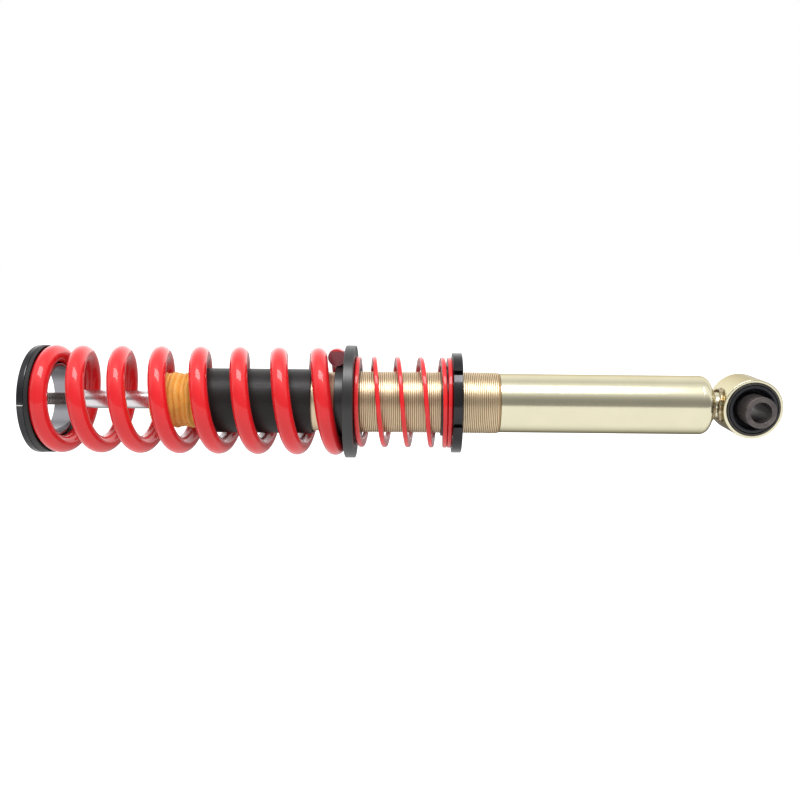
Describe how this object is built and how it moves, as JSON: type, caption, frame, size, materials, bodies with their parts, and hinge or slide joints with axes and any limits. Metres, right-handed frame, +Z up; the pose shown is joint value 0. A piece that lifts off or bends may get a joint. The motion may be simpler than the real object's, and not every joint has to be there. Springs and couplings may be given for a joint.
{
  "type": "coilover",
  "caption": "Twin-tube damper with a threaded body, coil spring over a flat-wire helper spring, screw-on perch, bump stop, dust boot and a rubber-bushed lower eye.",
  "frame": {"origin": "on the damper's axis, halfway between the top seat's outer face and the far side of the lower eye", "axes": "+X along the damper's axis towards the lower eye; Y along the eye's bolt; +Z up as it lies"},
  "size_m": [0.6018, 0.092, 0.092],
  "materials": {
    "gold_zinc": "bright yellow zinc plate over drawn steel tube",
    "gold_thread": "rolled thread under yellow zinc plate",
    "weld": "welded fillet under yellow zinc plate",
    "black_anodised": "satin black anodised",
    "black_gloss_anodised": "bright black anodised, turned",
    "spring_red": "gloss red powder coat on spring steel",
    "chrome_rod": "hard chrome, ground",
    "steel": "machined steel",
    "bush_steel": "dark phosphated steel",
    "rubber": "moulded rubber",
    "bump_foam": "amber microcellular polyurethane foam",
    "boot_plastic": "satin black polypropylene",
    "nylon": "natural nylon",
    "piston_band": "bronze-filled bearing plastic"
  },
  "bodies": {
    "damper": {"threaded_tube": "gold_thread", "body_tube": "gold_zinc", "base_cap": "gold_zinc", "eye_neck": "gold_zinc", "neck_weld": "weld", "eye_ring": "gold_zinc", "bush_outer_sleeve": "bush_steel", "bush_rubber": "rubber", "gland_nut": "black_anodised", "dust_wiper": "rubber", "oil_seal": "rubber", "rod_guide": "steel", "pressure_tube": "steel", "base_valve": "steel"},
    "rod": {"piston_rod": "chrome_rod", "rebound_stop": "nylon", "rebound_shims": "steel", "piston": "steel", "piston_band": "piston_band", "compression_shims": "steel", "piston_nut": "steel"},
    "boot": {"bump_stop": "bump_foam", "dust_boot": "boot_plastic"},
    "bush_core": {"bush_inner_sleeve": "bush_steel"},
    "collar": {"guide_collar": "black_anodised", "helper_spring": "spring_red"},
    "adjuster": {"adjuster_ring": "black_gloss_anodised", "lock_pad": "nylon"},
    "lock": {"lock_screw": "black_anodised"},
    "divider": {"divider_ring": "black_anodised", "main_spring": "spring_red"},
    "top_seat": {"top_seat_ring": "black_gloss_anodised", "spring_pad": "rubber"}
  },
  "joints": [
    {"name": "rod_slide", "type": "slide", "parent": "damper", "child": "rod", "axis": [1, 0, 0], "range_m": [0, 0.1], "stiffness_N_per_m": 9000},
    {"name": "boot_slide", "type": "slide", "parent": "damper", "child": "boot", "axis": [1, 0, 0], "range_m": [-0.06, 0.003]},
    {"name": "bush_twist", "type": "hinge", "parent": "damper", "child": "bush_core", "pos_m": [0.27685, 0, 0], "axis": [0, 1, 0], "range_deg": [-20, 20], "stiffness_Nm_per_rad": 20, "deforming": ["bush_rubber"]},
    {"name": "collar_slide", "type": "slide", "parent": "damper", "child": "collar", "axis": [1, 0, 0], "range_m": [-0.015, 0.03]},
    {"name": "adjuster_turn", "type": "hinge", "parent": "collar", "child": "adjuster", "pos_m": [0.04, 0, 0], "axis": [1, 0, 0], "range_deg": [-3600, 7200]},
    {"name": "lock_screw_travel", "type": "slide", "parent": "adjuster", "child": "lock", "axis": [0, 0.9681, -0.2504], "range_m": [0, 0.0015]},
    {"name": "helper_compress", "type": "slide", "parent": "collar", "child": "divider", "axis": [1, 0, 0], "range_m": [0, 0.05], "deforming": ["helper_spring"]},
    {"name": "main_compress", "type": "slide", "parent": "divider", "child": "top_seat", "axis": [1, 0, 0], "range_m": [0, 0.05], "deforming": ["main_spring"]}
  ],
  "couplings": [
    {"joint": "helper_compress", "follows": "rod_slide", "ratio": 0.5},
    {"joint": "main_compress", "follows": "rod_slide", "ratio": 0.5},
    {"joint": "adjuster_turn", "follows": "collar_slide", "rad_per_m": 4188.8}
  ]
}
